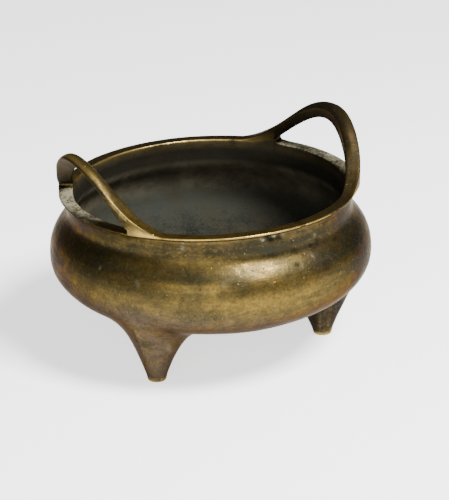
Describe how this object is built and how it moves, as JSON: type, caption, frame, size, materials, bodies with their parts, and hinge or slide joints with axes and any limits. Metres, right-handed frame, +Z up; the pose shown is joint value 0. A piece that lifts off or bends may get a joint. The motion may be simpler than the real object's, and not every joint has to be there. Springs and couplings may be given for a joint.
{
  "type": "bronze tripod incense burner",
  "caption": "Cast bronze incense burner: a low round-bellied bowl on three short conical feet, with a drawn-in neck, a turned-out lip and two upright loop handles.",
  "frame": {"origin": "on the bowl's axis, on the surface that the feet stand on", "axes": "+Z up the bowl's axis; the two loop handles are on +X and -X; one foot is 4 degrees past +Y"},
  "size_m": [0.16, 0.16, 0.1108],
  "materials": {
    "bronze": "worn olive-brown patina with golden rubbed places, darker inside"
  },
  "bodies": {
    "root": {"incense_burner": "bronze"}
  },
  "joints": []
}
